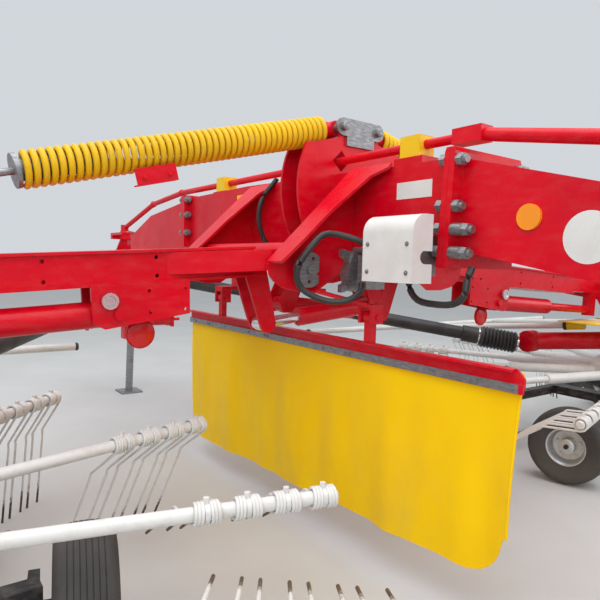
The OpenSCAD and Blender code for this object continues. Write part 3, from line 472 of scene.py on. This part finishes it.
def link_mesh(name, mesh_data, body, material, smooth_angle=40):
    """Makes an object of a bmesh, smooth below smooth_angle, that rides on a body."""
    mesh = bpy.data.meshes.new(name)
    mesh_data.to_mesh(mesh)
    mesh_data.free()
    piece = bpy.data.objects.new(name, mesh)
    bpy.context.scene.collection.objects.link(piece)
    mesh.materials.append(material)
    for polygon in mesh.polygons:
        polygon.use_smooth = True
    if smooth_angle < 180:
        mesh.set_sharp_from_angle(angle=math.radians(smooth_angle))
    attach(piece, body)
    return piece


def side_name(sign):
    """The side's part in the names of nodes and bodies. sign is -1 on the left and 1 on the right."""
    return "left" if sign < 0 else "right"


def face_outward(piece_mesh, sign=-1):
    """Turns the faces of a closed mesh outward, and makes a left piece a right one where sign is 1."""
    bmesh.ops.recalc_face_normals(piece_mesh, faces=piece_mesh.faces)
    if sign > 0:
        mirrored(piece_mesh)


def sweep(into, path, radius, sides=10):
    """Adds a round tube along path. radius is one number or one for each point."""
    radii = radius if isinstance(radius, list) else [radius] * len(path)
    before = None
    rings = []
    side = None
    for i, point in enumerate(path):
        ahead = (path[min(i + 1, len(path) - 1)] - path[max(i - 1, 0)]).normalized()
        if side is None:
            side = ahead.orthogonal().normalized()
        else:
            side = (side - ahead * side.dot(ahead)).normalized()
        other = ahead.cross(side)
        ring = []
        for k in range(sides):
            turn = 2 * math.pi * k / sides
            ring.append(into.verts.new(point + radii[i] * (math.cos(turn) * side + math.sin(turn) * other)))
        if before:
            for k in range(sides):
                n = (k + 1) % sides
                into.faces.new((before[k], before[n], ring[n], ring[k]))
        before = ring
        rings.append(ring)
    into.faces.new(list(reversed(rings[0])))
    into.faces.new(rings[-1])
    return rings


def revolve(into, at, axis, profile, sides=32):
    """Adds a turned solid. profile is pairs of distance along axis and radius."""
    axis = axis.normalized()
    side = axis.orthogonal().normalized()
    other = axis.cross(side)
    before = None
    for along, radius in profile:
        ring = []
        for k in range(sides):
            turn = 2 * math.pi * k / sides
            out = math.cos(turn) * side + math.sin(turn) * other
            ring.append(into.verts.new(at + axis * along + radius * out))
        if before:
            for k in range(sides):
                n = (k + 1) % sides
                into.faces.new((before[k], before[n], ring[n], ring[k]))
        else:
            into.faces.new(list(reversed(ring)))
        before = ring
    into.faces.new(before)


def mirrored(piece_mesh):
    """Turns a left piece into a right one."""
    for vert in piece_mesh.verts:
        vert.co.x = -vert.co.x
    bmesh.ops.reverse_faces(piece_mesh, faces=piece_mesh.faces)


def spring_axis():
    """Outward direction of the left spring, and the direction square to it that points down."""
    tilt = math.radians(SPRING_TILT)
    return Vector((-math.cos(tilt), 0, -math.sin(tilt))), Vector((math.sin(tilt), 0, -math.cos(tilt)))


def shorten_with_fold(piece):
    """Gives the piece a mesh of its own. On the machine the coil and what it carries draw in along the
    spring's axis as the boom comes up; nothing here moves them.
    """
    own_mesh(piece)


def add_spring(sign, looks):
    """The boom's tension spring: open turns of round wire, with the plug and eye that hold it."""
    name = side_name(sign)
    axis, _ = spring_axis()
    other = Vector((0, 1, 0))
    side = axis.cross(other)
    coil = bmesh.new()
    steps = 28
    length = SPRING_OUT - SPRING_IN - 2 * SPRING_WIRE
    path = []
    for i in range(SPRING_TURNS * steps + 1):
        turn = 2 * math.pi * i / steps
        along = SPRING_IN + SPRING_WIRE + length * i / (SPRING_TURNS * steps)
        out = math.cos(turn) * side + math.sin(turn) * other
        path.append(SPRING_PIN + axis * along + SPRING_MEAN * out)
    sweep(coil, path, SPRING_WIRE, 10)
    if sign > 0:
        mirrored(coil)
    piece = link_mesh(f"{name}_spring_wire", coil, f"{name}_spring", looks["spring"], 180)
    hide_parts(f"{name}_spring_coil")
    shorten_with_fold(piece)
    plug = bmesh.new()
    revolve(plug, SPRING_PIN, axis, [(0.028, 0.03), (0.034, 0.036), (0.196, 0.036), (0.2, 0.032)])
    eye = [(0, 0.033), (0.002, 0.035), (0.046, 0.035), (0.048, 0.033)]
    revolve(plug, SPRING_PIN - other * 0.024, other, eye)
    if sign > 0:
        mirrored(plug)
    link_mesh(f"{name}_spring_plug", plug, f"{name}_spring", looks["red"])


def tine_paths(raise_deg):
    """The centre line of a double tine about an arm that runs along +Y, trailing toward +X."""
    upper = math.radians(raise_deg + TINE_KNEE)
    lower = math.radians(raise_deg)
    steps = 12
    leg_steps = 6
    bend_steps = 3
    paths = []
    for end in (-1, 1):
        start = end * COIL_START
        finish = end * COIL_FINISH
        coil = []
        count = COIL_TURNS * steps
        for i in range(count + 1):
            turn = upper - 2 * math.pi * (count - i) / steps
            along = start + (finish - start) * i / count
            # The wire leaves the coil where its tangent runs down the upper part of the leg
            coil.append(Vector((-COIL_MEAN * math.cos(turn), along, -COIL_MEAN * math.sin(turn))))
        last = coil[-1]
        down = Vector((math.sin(upper), 0, -math.cos(upper)))
        knee = last + down * TINE_UPPER
        tip_way = Vector((math.sin(lower), 0, -math.cos(lower)))
        leg = []
        for k in range(1, leg_steps):
            leg.append(last + down * (TINE_UPPER * k / leg_steps))
        for k in range(bend_steps + 1):
            mix = k / bend_steps
            way = (down * (1 - mix) + tip_way * mix).normalized()
            leg.append(knee - down * BEND_START + way * (BEND_STEP * k))
        base = leg[-1]
        for k in range(1, leg_steps + 1):
            leg.append(base + tip_way * ((TINE_LOWER - BEND_STEP) * k / leg_steps))
        for point in leg:
            point.y -= (point - last).length * TINE_LEAN
        paths.append((coil, leg))
    return paths


def arm_mesh(into, tips, matrix, raise_deg):
    """Adds an arm with its stub, clamps and tines. tips gets each ring of a leg and its share of the leg."""
    def place(points):
        return [matrix @ p for p in points]

    stub = [Vector((0, STUB_START, 0)), Vector((0, STUB_END, 0))]
    sweep(into, place(stub), STUB_RADIUS, 24)
    tube = [Vector((0, STUB_END - 0.04, 0)), Vector((0, ARM_REACH - 0.008, 0)), Vector((0, ARM_REACH, 0))]
    sweep(into, place(tube), [ARM_RADIUS, ARM_RADIUS, ARM_RADIUS - 0.006], 24)
    for k in range(TINES_PER_ARM):
        middle = ARM_REACH - TINE_END_GAP - k * TINE_PITCH
        clamp = [Vector((0, middle - CLAMP_HALF, 0)), Vector((0, middle + CLAMP_HALF, 0))]
        sweep(into, place(clamp), CLAMP_RADIUS, 16)
        bolt = [Vector((0, middle, ARM_RADIUS)), Vector((0, middle, CLAMP_BOLT_TOP))]
        sweep(into, place(bolt), CLAMP_BOLT_RADIUS, 6)
        for coil, leg in tine_paths(raise_deg):
            shift = Vector((0, middle, 0))
            path = [p + shift for p in coil + leg]
            rings = sweep(into, place(path), TINE_WIRE, 8)
            tips.extend((ring, i / len(leg)) for i, ring in enumerate(rings[-len(leg):], 1))


def arm_matrix(k):
    """Turns an arm that runs along +Y, trailing toward +X, into arm k of the left rotor."""
    turn = -math.radians(NEAR_ARM_TURN + k * ARM_STEP)
    hub = Matrix.Translation(Vector((-ROTOR_X, 0, ARM_Z)))
    return hub @ Matrix.Rotation(turn, 4, "Z") @ Matrix.Scale(-1, 4, Vector((1, 0, 0)))


def add_rotor(sign, looks):
    """A rotor's dish with its thirteen tined arms."""
    name = side_name(sign)
    mesh = bmesh.new()
    layer = mesh.verts.layers.float_color.new("tip")
    tips = []
    hub = Vector((-ROTOR_X, 0, ARM_Z))
    dish = [(-0.07, 0.07), (-0.07, 0.3), (-0.045, 0.35), (0.045, 0.35), (0.08, 0.3), (0.08, 0.07)]
    revolve(mesh, hub, Vector((0, 0, 1)), dish, 64)
    for k in range(ARM_COUNT):
        arm_mesh(mesh, tips, arm_matrix(k), TINE_RAISE[k])
    for vert in mesh.verts:
        vert[layer] = (0, 0, 0, 1)
    for ring, share in tips:
        for vert in ring:
            vert[layer] = (share, share, share, 1)
    face_outward(mesh, sign)
    piece = link_mesh(f"{name}_rotor_tines", mesh, f"{name}_rotor", looks["tine"], 35)
    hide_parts(f"{name}_rotor_arms")


def add_linch_pins(sign, looks):
    """The ball and wire clip that hold each arm tube in its stub."""
    name = side_name(sign)
    mesh = bmesh.new()
    for k in range(ARM_COUNT):
        matrix = arm_matrix(k)
        side = -1 if k % 2 else 1
        ball = Vector((0.9 * STUB_RADIUS * side, LINCH_PIN_AT, 0.004))
        bmesh.ops.create_uvsphere(mesh, u_segments=12, v_segments=8, radius=0.009,
                                  matrix=matrix @ Matrix.Translation(ball))
        clip = []
        for i in range(13):
            turn = math.radians(-40 + 260 * i / 12)
            wire = Vector((0.002 * side, 0.018 * math.cos(turn), -0.014 + 0.02 * math.sin(turn)))
            clip.append(matrix @ (ball + wire))
        sweep(mesh, clip, 0.0016, 6)
    face_outward(mesh, sign)
    link_mesh(f"{name}_linch_pins", mesh, f"{name}_rotor", looks["steel"])


def ring_solid(into, at, axis, loop, sides=48):
    """Adds a turned ring. loop is the closed outline of its section: distance along axis and radius."""
    axis = axis.normalized()
    side = axis.orthogonal().normalized()
    other = axis.cross(side)
    rings = []
    for k in range(sides):
        turn = 2 * math.pi * k / sides
        out = math.cos(turn) * side + math.sin(turn) * other
        rings.append([into.verts.new(at + axis * along + radius * out) for along, radius in loop])
    for k in range(sides):
        here, after = rings[k], rings[(k + 1) % sides]
        for i in range(len(loop)):
            j = (i + 1) % len(loop)
            into.faces.new((here[i], here[j], after[j], after[i]))


def add_bellows(sign, looks):
    """The drive shaft's sliding guard tube and the rubber bellows at its outer end."""
    name = side_name(sign)
    start = Vector((-SLEEVE_START, SHAFT_Y - SLEEVE_START, SHAFT_Z - SHAFT_DROP * SLEEVE_START))
    axis = Vector((-1, -1, -SHAFT_DROP))
    per_metre = axis.length

    def along(x):
        return (x - SLEEVE_START) * per_metre

    step = along(SLEEVE_STEP)
    first = along(BELLOWS_START)
    last = along(SHAFT_END) - 0.004
    steps = 10
    profile = [(0, 0.041), (0, 0.044), (0.003, SLEEVE_RADIUS), (step, SLEEVE_RADIUS), (step + 0.004, 0.057),
               (first - 0.012, 0.058), (first - 0.006, 0.064)]
    for i in range(BELLOWS_RIBS * steps + 1):
        phase = i / steps
        crest = (0.5 - 0.5 * math.cos(2 * math.pi * phase)) ** 0.7
        profile.append((first + (last - first) * phase / BELLOWS_RIBS,
                        BELLOWS_RADIUS + BELLOWS_RIB_HEIGHT * crest))
    profile += [(last + 0.004, 0.0632)]
    mesh = bmesh.new()
    revolve(mesh, start, axis, profile, 48)
    face_outward(mesh, sign)
    piece = link_mesh(f"{name}_shaft_bellows", mesh, f"{name}_shaft", looks["guard_plastic"], 60)
    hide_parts(f"{name}_shaft_sleeve")
    clamps = bmesh.new()
    for place in (first - 0.02, last - 0.001):
        radius = 0.0587 if place < first else 0.0642
        ring_solid(clamps, start + axis.normalized() * place, axis,
                   [(0, radius - 0.003), (0, radius), (0.012, radius), (0.012, radius - 0.003)])
    face_outward(clamps, sign)
    link_mesh(f"{name}_bellows_clamps", clamps, f"{name}_shaft", looks["bright_rod"])


def tyre_section(half, radius, inner, grooves, depth):
    """Half-round tyre section with grooves round the tread, as a closed outline."""
    shoulder = half * 0.32
    flank = [(-half * 0.72, inner), (-half, radius * 0.8), (-half, radius - shoulder),
             (-half * 0.93, radius - shoulder * 0.55), (-half * 0.8, radius - shoulder * 0.25)]
    loop = list(flank)
    tread = half * 0.66
    for k in range(grooves):
        middle = -tread + 2 * tread * (k + 0.5) / grooves
        width = 2 * tread / grooves
        for offset, sink in ((-0.42, 0), (-0.1, 0), (-0.06, depth), (0.06, depth), (0.1, 0), (0.42, 0)):
            place = middle + offset * width
            loop.append((place, radius - 0.05 * radius * (place / half) ** 2 - sink))
    return loop + [(-across, r) for across, r in reversed(flank)]


def add_running_wheels(sign, looks):
    """The small wheels under a rotor, each a ribbed tyre on a rim with nuts."""
    name = side_name(sign)
    for letter, (across, y, turn) in ROTOR_WHEELS.items():
        at = Vector((-ROTOR_X + across, y, WHEEL_RADIUS))
        axle = Vector((math.cos(math.radians(turn)), math.sin(math.radians(turn)), 0))
        tyre = bmesh.new()
        section = tyre_section(WHEEL_HALF, WHEEL_RADIUS - 0.001, RIM_SEAT, grooves=7, depth=0.003)
        ring_solid(tyre, at, axle, section, 64)
        rim = bmesh.new()
        ring_solid(rim, at, axle, RIM_SECTION, 48)
        for k in range(WHEEL_NUTS):
            around = Matrix.Rotation(2 * math.pi * k / WHEEL_NUTS, 3, axle)
            nut = at + around @ Vector((0, 0, NUT_CIRCLE)) - axle * 0.016
            revolve(rim, nut, axle, [(0, 0.008), (0.032, 0.008)], 6)
        for mesh in (tyre, rim):
            face_outward(mesh, sign)
        body = f"{name}_wheel_{letter}"
        piece = link_mesh(f"{body}_tyre", tyre, body, looks["tyre"], 50)
        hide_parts(body)
        link_mesh(f"{body}_rim", rim, body, looks["rim"], 40)


def add_tread_bar(into, start, side):
    """Adds one bar of the rear tyre's tread, which trails and falls away from the middle to a shoulder."""
    radius = REAR_AXLE.z
    rows = []
    for i in range(5):
        share = i / 4
        x = side * REAR_HALF * (0.04 + 0.9 * share)
        turn = start + math.radians(TREAD_TRAIL * share)
        top = radius - 0.001 - 0.028 * share ** 3
        low = radius - 0.034 - 0.03 * share ** 3
        wide = math.radians(2.1 + 0.7 * share)
        rows.append([
            into.verts.new(REAR_AXLE + Vector((x, math.sin(turn + w) * r, math.cos(turn + w) * r)))
            for w, r in ((-wide, low), (-wide * 0.7, top), (wide * 0.7, top), (wide, low))])
    for a, b in zip(rows, rows[1:]):
        for i in range(3):
            into.faces.new((a[i], a[i + 1], b[i + 1], b[i]))
        into.faces.new((a[3], a[0], b[0], b[3]))
    into.faces.new(list(reversed(rows[0])))
    into.faces.new(rows[-1])


def add_rear_tyre(sign, looks):
    """Rear tyre with crossing bars on its tread."""
    name = side_name(sign)
    half = REAR_HALF
    base = REAR_AXLE.z - TREAD_DEPTH
    flank = [(-half * 0.72, REAR_RIM_SEAT), (-half * 0.9, 0.24), (-half * 0.97, 0.3),
             (-half * 0.93, base - 0.03), (-half * 0.7, base - 0.006)]
    mesh = bmesh.new()
    section = flank + [(0, base)] + [(-across, r) for across, r in reversed(flank)]
    ring_solid(mesh, REAR_AXLE, Vector((1, 0, 0)), section, 72)
    for k in range(TREAD_BARS):
        for side in (-1, 1):
            add_tread_bar(mesh, 2 * math.pi / TREAD_BARS * (k + (0.5 if side > 0 else 0)), side)
    face_outward(mesh, sign)
    piece = link_mesh(f"{name}_rear_tread", mesh, f"{name}_rear_wheel", looks["tyre"], 30)
    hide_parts(f"{name}_rear_tyre")


def corner_lift(distance, radius):
    """How far a round corner lifts the cloth's lower edge, at a distance from the cloth's end."""
    if distance >= radius:
        return 0
    return radius - math.sqrt(max(radius ** 2 - (radius - distance) ** 2, 0))


def curtain_edge(y):
    """Height of the curtain's lower edge at a place along it."""
    run = CURTAIN_FRONT - 0.22 - CURTAIN_REAR
    low = CLOTH_LOW_REAR + (CLOTH_LOW_FRONT - CLOTH_LOW_REAR) * (y - CURTAIN_REAR) / run
    lift = corner_lift(y - (CURTAIN_REAR + 0.03), CORNER_REAR) + corner_lift(CLOTH_FRONT - y, CORNER_FRONT)
    return low + lift


def curtain_fold(y, drop):
    """How far the sheet stands off its plane: soft upright folds that grow downward."""
    wave = (0.010 * math.sin(y * 9.5 + 0.6) + 0.006 * math.sin(y * 21 + 1.9 + drop * 1.3)
            + 0.003 * math.sin(y * 37 + 0.4 - drop * 2))
    belly = 0.012 * math.sin(math.pi * min(drop / 0.7, 1))
    return wave * min(drop / 0.35, 1) ** 1.2 - belly


def add_curtain(looks):
    """The hanging cloth, as a closed sheet with two faces that share one border."""
    columns = 130
    rows = 44
    mesh = bmesh.new()
    layers = []
    for face in (-1, 1):
        grid = []
        for i in range(columns + 1):
            y = CLOTH_REAR + (CLOTH_FRONT - CLOTH_REAR) * i / columns
            low = curtain_edge(y)
            line = []
            for j in range(rows + 1):
                share = j / rows
                z = CURTAIN_TOP + (low - CURTAIN_TOP) * share
                drop = CURTAIN_TOP - z
                lean = CLOTH_LEAN * drop * max(0, 1 - (y - CURTAIN_REAR) / 0.25)
                x = CURTAIN_X + CLOTH_OFFSET + face * CLOTH_HALF + curtain_fold(y, drop)
                line.append(mesh.verts.new((x, y + lean, z)))
            grid.append(line)
        layers.append(grid)
    for face, grid in enumerate(layers):
        for i in range(columns):
            for j in range(rows):
                quad = [grid[i][j], grid[i + 1][j], grid[i + 1][j + 1], grid[i][j + 1]]
                mesh.faces.new(quad if face else list(reversed(quad)))
    border = ([(i, 0) for i in range(columns + 1)] + [(columns, j) for j in range(1, rows + 1)]
              + [(i, rows) for i in range(columns - 1, -1, -1)] + [(0, j) for j in range(rows - 1, 0, -1)])
    for n, (i, j) in enumerate(border):
        a, b = border[(n + 1) % len(border)]
        mesh.faces.new((layers[0][i][j], layers[0][a][b], layers[1][a][b], layers[1][i][j]))
    face_outward(mesh)
    piece = link_mesh("curtain_cloth", mesh, "curtain", looks["curtain"], 60)
    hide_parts("curtain_sheet")


def block(into, low, high):
    """Adds a plain block between two corners."""
    corners = [into.verts.new((x, y, z))
               for x in (low[0], high[0]) for y in (low[1], high[1]) for z in (low[2], high[2])]
    for face in ((0, 1, 3, 2), (4, 6, 7, 5), (0, 4, 5, 1), (2, 3, 7, 6), (0, 2, 6, 4), (1, 5, 7, 3)):
        into.faces.new([corners[i] for i in face])


def screw(into, at, axis, radius, height):
    """Adds a washer with a hexagon head on it."""
    revolve(into, at, axis, [(-0.001, radius * 1.5), (height * 0.25, radius * 1.5)], 20)
    revolve(into, at, axis, [(0, radius), (height * 0.85, radius), (height, radius * 0.85)], 6)


def add_clamp_strip(looks):
    """Steel strip that holds the curtain to the rail, with single screws and pairs in turn."""
    face = STRIP_BACK - STRIP_THICK
    strip = bmesh.new()
    block(strip, (face, CURTAIN_REAR + 0.014, STRIP_BOTTOM), (STRIP_BACK, CURTAIN_FRONT - 0.004, STRIP_TOP))
    places = [CURTAIN_REAR + 0.033]
    for k in range(4):
        pair = CURTAIN_REAR + 0.17 + STRIP_SCREW_STEP * k
        places += [pair - 0.0125, pair + 0.0125]
    places += [CURTAIN_REAR + 0.33 + STRIP_SCREW_STEP * k for k in range(4)]
    for y in places:
        if y < CURTAIN_FRONT - 0.03:
            screw(strip, Vector((face, y, STRIP_SCREW_Z)), OUTWARD, 0.005, 0.006)
    face_outward(strip)
    link_mesh("curtain_clamp_strip", strip, "curtain", looks["steel"])


def add_edge_binding(looks):
    """Rolled binding down the curtain's rear edge."""
    steps = 24
    y = CURTAIN_REAR + 0.012
    top = CURTAIN_TOP - 0.004
    low = curtain_edge(CLOTH_REAR) + 0.004
    path = []
    for k in range(steps + 1):
        z = top + (low - top) * k / steps
        drop = CURTAIN_TOP - z
        x = CURTAIN_X + CLOTH_OFFSET + curtain_fold(y - 0.004, drop)
        path.append(Vector((x, y + CLOTH_LEAN * drop, z)))
    edge = bmesh.new()
    sweep(edge, path, 0.0042, 8)
    face_outward(edge)
    link_mesh("curtain_edge_binding", edge, "curtain", looks["curtain"], 80)


def add_blank_plates(looks):
    """Plain plates and discs where the machine carries labels, with nothing on them."""
    outer = BEAM_FACE - PLATE_THICK
    white = bmesh.new()
    low, high = WHITE_PLATE
    block(white, (outer, *low), (BEAM_FACE, *high))
    revolve(white, ROUND_PLATE_AT, OUTWARD, [(0, ROUND_PLATE_RADIUS), (0.0014, ROUND_PLATE_RADIUS)], 64)
    face_outward(white)
    link_mesh("blank_white_plates", white, "frame", looks["cover"])
    yellow = bmesh.new()
    low, high = YELLOW_PLATE
    block(yellow, (outer, *low), (BEAM_FACE, *high))
    face_outward(yellow)
    link_mesh("blank_yellow_plate", yellow, "frame", looks["yellow"])


def add_frame_fittings(looks):
    """Ends of the springs' pins and the screws of the valve cover."""
    dark = bmesh.new()
    for x in (-LINK_PIN_X, LINK_PIN_X):
        pin_end = [(0, 0.0185), (0.005, 0.0185), (0.007, 0.016)]
        revolve(dark, LINK_PIN_REAR + Vector((x, 0, 0)), BACKWARD, pin_end, 32)
    for z in (1.225, 1.13):
        for y in (-0.18, -0.365):
            screw(dark, Vector((COVER_FACE, y, z)), OUTWARD, 0.0055, 0.006)
    face_outward(dark)
    link_mesh("pin_ends_and_screws", dark, "frame", looks["steel"])


def guard_front(side, share):
    """A point of a rotor's front guard tube. share is 0 at the plate and 1 at the front bar."""
    rise = GUARD_RISE * (1 - share)
    return Vector((-ROTOR_X + side * (0.262 + 0.44 * share), 0.3 + 1.4 * share, GUARD_Z + rise))


def guard_rear(side, share):
    """A point of a rotor's rear guard tube. share is 0 at the plate and 1 at the free end."""
    rise = GUARD_RISE - 0.131 * share
    return Vector((-ROTOR_X + side * (0.3 + 0.42 * share), -0.06 - 0.64 * share, GUARD_Z + rise))


def add_guard_fittings(sign, looks):
    """Black collars at the sockets' mouths and black caps on the open ends of the guard tubes."""
    name = side_name(sign)
    collar = [(0.0005, GUARD_BORE), (0.0005, 0.0315), (0.02, 0.0315), (0.024, 0.027), (0.024, GUARD_BORE)]
    cap = [(-0.012, 0.0222), (0.003, 0.0222), (0.006, 0.018)]
    mesh = bmesh.new()
    for side in (-1, 1):
        for line, share in ((guard_front, FRONT_SOCKET_SHARE), (guard_rear, REAR_SOCKET_SHARE)):
            ring_solid(mesh, line(side, share), line(side, 1) - line(side, 0), collar, 32)
        tip = guard_rear(side, 1)
        revolve(mesh, tip, tip - guard_rear(side, 0), cap, 32)
        bar_end = Vector((-ROTOR_X + side * GUARD_BAR_HALF, GUARD_BAR_Y, GUARD_Z))
        revolve(mesh, bar_end, Vector((side, 0, 0)), cap, 32)
    face_outward(mesh, sign)
    piece = link_mesh(f"{name}_guard_caps", mesh, f"{name}_boom_head", looks["guard_plastic"])


def add_boom_fittings(sign, looks):
    """Rear reflector on its arm, and the ring round the width cylinder's pin."""
    disc_at = Vector((-0.985, 0.303, 0.886))
    arm = bmesh.new()
    bent = [(-1.13, 0.307, 0.93), (-1.03, 0.307, 0.925), (-0.99, 0.307, 0.905), (-0.985, 0.307, 0.886)]
    sweep(arm, [Vector(point) for point in bent], 0.006, 12)
    revolve(arm, disc_at - 0.009 * BACKWARD, BACKWARD, [(0, 0.053), (0.009, 0.053)], 48)
    disc = bmesh.new()
    revolve(disc, disc_at, BACKWARD, [(0, 0.049), (0.004, 0.049), (0.006, 0.046)], 48)
    ring_at = Vector((-1.114, 0.246, 1.009))
    ring = bmesh.new()
    ring_solid(ring, ring_at, BACKWARD, [(0, 0.017), (0, 0.028), (0.01, 0.028), (0.01, 0.017)], 36)
    revolve(ring, ring_at, BACKWARD, [(0, 0.0165), (0.006, 0.0165)], 36)
    name = side_name(sign)
    pieces = (("reflector_arm", arm, "red", "red"), ("reflector", disc, "reflector_red", "red"),
              ("pin_ring", ring, "bright_rod", "steel"))
    for kind, mesh, look, slot in pieces:
        face_outward(mesh, sign)
        link_mesh(f"{name}_{kind}", mesh, f"{name}_boom", looks[look])


def add_spring_plate(sign, looks):
    """Small folded plate clamped under the spring. It is drawn along the axis, across and down."""
    axis, down = spring_axis()
    near, far = PLATE_AT, PLATE_AT + 0.155
    plate = bmesh.new()
    block(plate, (near, -0.06, 0.05), (far, -0.055, 0.11))
    block(plate, (near, -0.055, 0.105), (far, -0.02, 0.11))
    for along in (near + 0.03, far - 0.03):
        screw(plate, Vector((along, -0.06, 0.085)), BACKWARD, 0.007, 0.009)
    for vert in plate.verts:
        along, across, below = vert.co
        vert.co = SPRING_PIN + axis * along + Vector((0, across, 0)) + down * below
    face_outward(plate, sign)
    name = side_name(sign)
    piece = link_mesh(f"{name}_spring_plate", plate, f"{name}_spring", looks["red"])
    shorten_with_fold(piece)


def dress_frame(looks):
    """Gives each CAD node the look of its material slot in the record."""
    slots = {part["node"]: part["material_slot"] for part in frame["record"]["subparts"]}
    for node, piece in frame["nodes"].items():
        look = looks[slots[node]]
        if not piece.data.materials:
            piece.data.materials.append(look)
        for index in range(len(piece.data.materials)):
            piece.data.materials[index] = look


def main():
    add_camera()
    add_studio()
    looks = make_looks()
    dress_frame(looks)
    for sign in (-1, 1):
        add_spring(sign, looks)
        add_rotor(sign, looks)
        add_linch_pins(sign, looks)
        add_bellows(sign, looks)
        add_running_wheels(sign, looks)
        add_rear_tyre(sign, looks)
        add_guard_fittings(sign, looks)
        add_boom_fittings(sign, looks)
        add_spring_plate(sign, looks)
    add_curtain(looks)
    add_clamp_strip(looks)
    add_edge_binding(looks)
    add_blank_plates(looks)
    add_frame_fittings(looks)


main()
